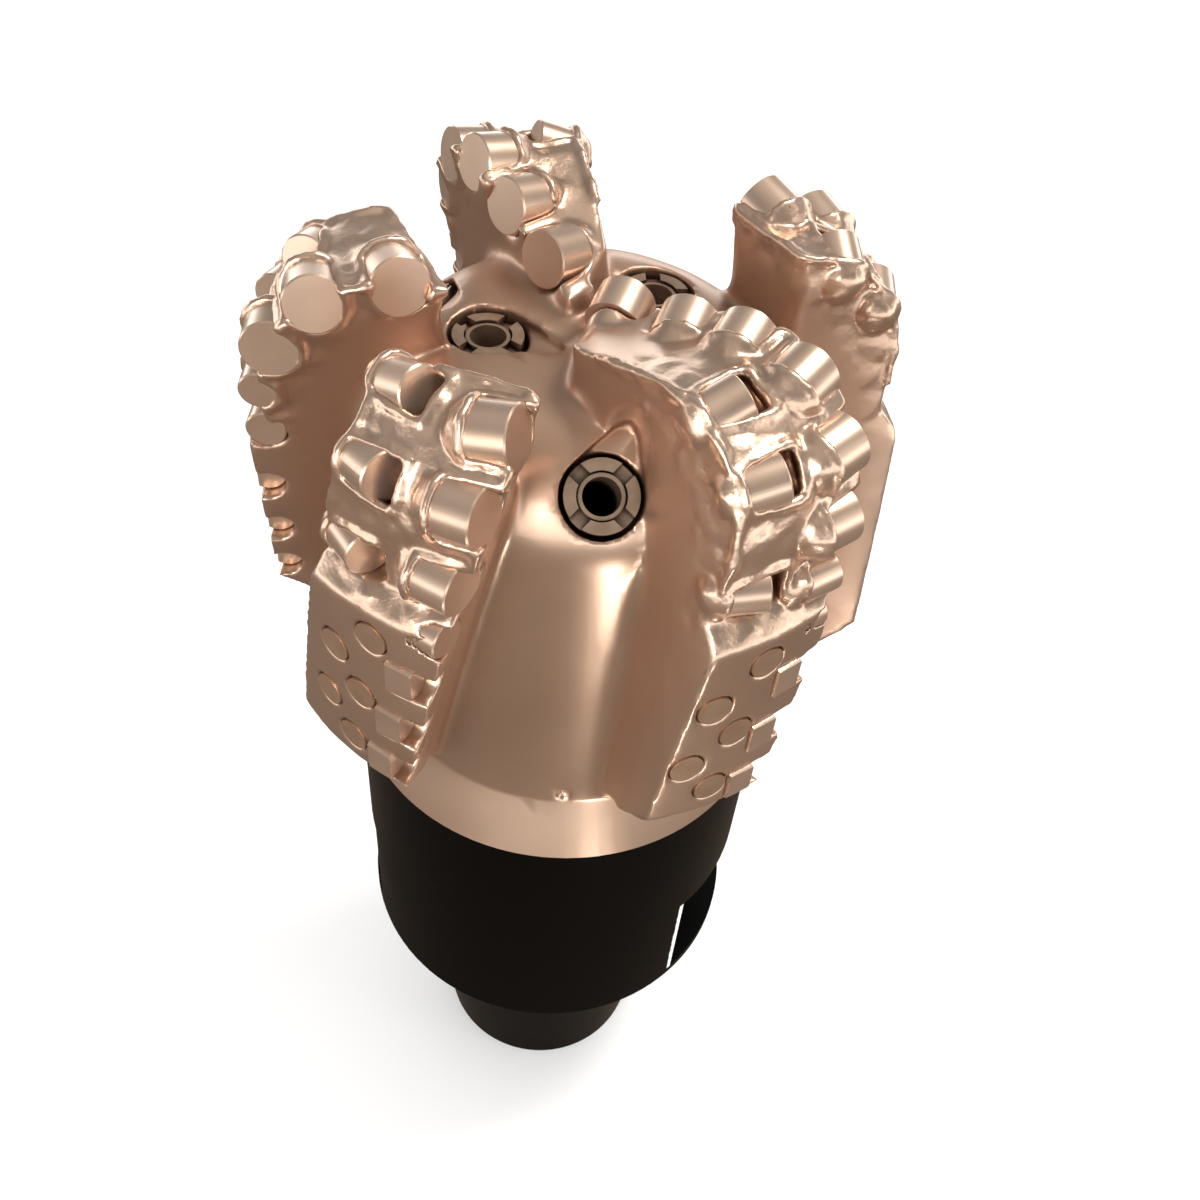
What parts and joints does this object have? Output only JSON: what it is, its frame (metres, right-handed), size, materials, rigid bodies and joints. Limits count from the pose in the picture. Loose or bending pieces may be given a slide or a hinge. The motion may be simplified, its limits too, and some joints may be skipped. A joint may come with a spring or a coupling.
{
  "type": "pdc drill bit",
  "caption": "Fixed-cutter PDC drill bit for 8-3/4 in hole: five spiral blades with diamond cutters, five nozzles, black shank and a thread protector on its pin.",
  "frame": {"origin": "middle of the flat underside of the thread protector, which the bit stands on, on the bit's axis", "axes": "+Z along the bit's axis from the pin towards the nose"},
  "size_m": [0.2215, 0.2163, 0.463],
  "materials": {
    "crown": "metallic copper-rose paint, satin gloss, with weld hardfacing under it",
    "cutter": "metallic copper-rose paint over polished carbide and diamond, smooth",
    "insert": "metallic copper-rose paint over carbide, smooth",
    "nozzle": "metallic copper-rose paint over carbide, satin",
    "shank": "black paint, satin gloss, bare steel at worn edges",
    "protector": "moulded black plastic, glossy",
    "seal": "matt black nitrile"
  },
  "bodies": {
    "root": {"blade_1": "crown", "blade_1_backup_cutters": "cutter", "blade_1_cutter_1": "cutter", "blade_1_cutter_2": "cutter", "blade_1_cutter_3": "cutter", "blade_1_cutter_4": "cutter", "blade_1_cutter_5": "cutter", "blade_1_cutter_6": "cutter", "blade_1_cutter_7": "cutter", "blade_1_gauge_inserts": "insert", "blade_1_gauge_trimmers": "cutter", "blade_2": "crown", "blade_2_backup_cutters": "cutter", "blade_2_cutter_1": "cutter", "blade_2_cutter_2": "cutter", "blade_2_cutter_3": "cutter", "blade_2_cutter_4": "cutter", "blade_2_cutter_5": "cutter", "blade_2_gauge_inserts": "insert", "blade_2_gauge_trimmers": "cutter", "blade_3": "crown", "blade_3_backup_cutters": "cutter", "blade_3_cutter_1": "cutter", "blade_3_cutter_2": "cutter", "blade_3_cutter_3": "cutter", "blade_3_cutter_4": "cutter", "blade_3_gauge_inserts": "insert", "blade_3_gauge_trimmers": "cutter", "blade_4": "crown", "blade_4_backup_cutters": "cutter", "blade_4_cutter_1": "cutter", "blade_4_cutter_2": "cutter", "blade_4_cutter_3": "cutter", "blade_4_cutter_4": "cutter", "blade_4_cutter_5": "cutter", "blade_4_cutter_6": "cutter", "blade_4_cutter_7": "cutter", "blade_4_cutter_8": "cutter", "blade_4_gauge_inserts": "insert", "blade_4_gauge_trimmers": "cutter", "blade_5": "crown", "blade_5_backup_cutters": "cutter", "blade_5_cutter_1": "cutter", "blade_5_cutter_2": "cutter", "blade_5_cutter_3": "cutter", "blade_5_cutter_4": "cutter", "blade_5_cutter_5": "cutter", "blade_5_gauge_inserts": "insert", "blade_5_gauge_trimmers": "cutter", "hub": "crown", "nozzle_1": "nozzle", "nozzle_2": "nozzle", "nozzle_3": "nozzle", "nozzle_4": "nozzle", "nozzle_5": "nozzle", "nozzle_seals": "nozzle", "shank": "shank", "thread_protector": "protector"}
  },
  "joints": []
}
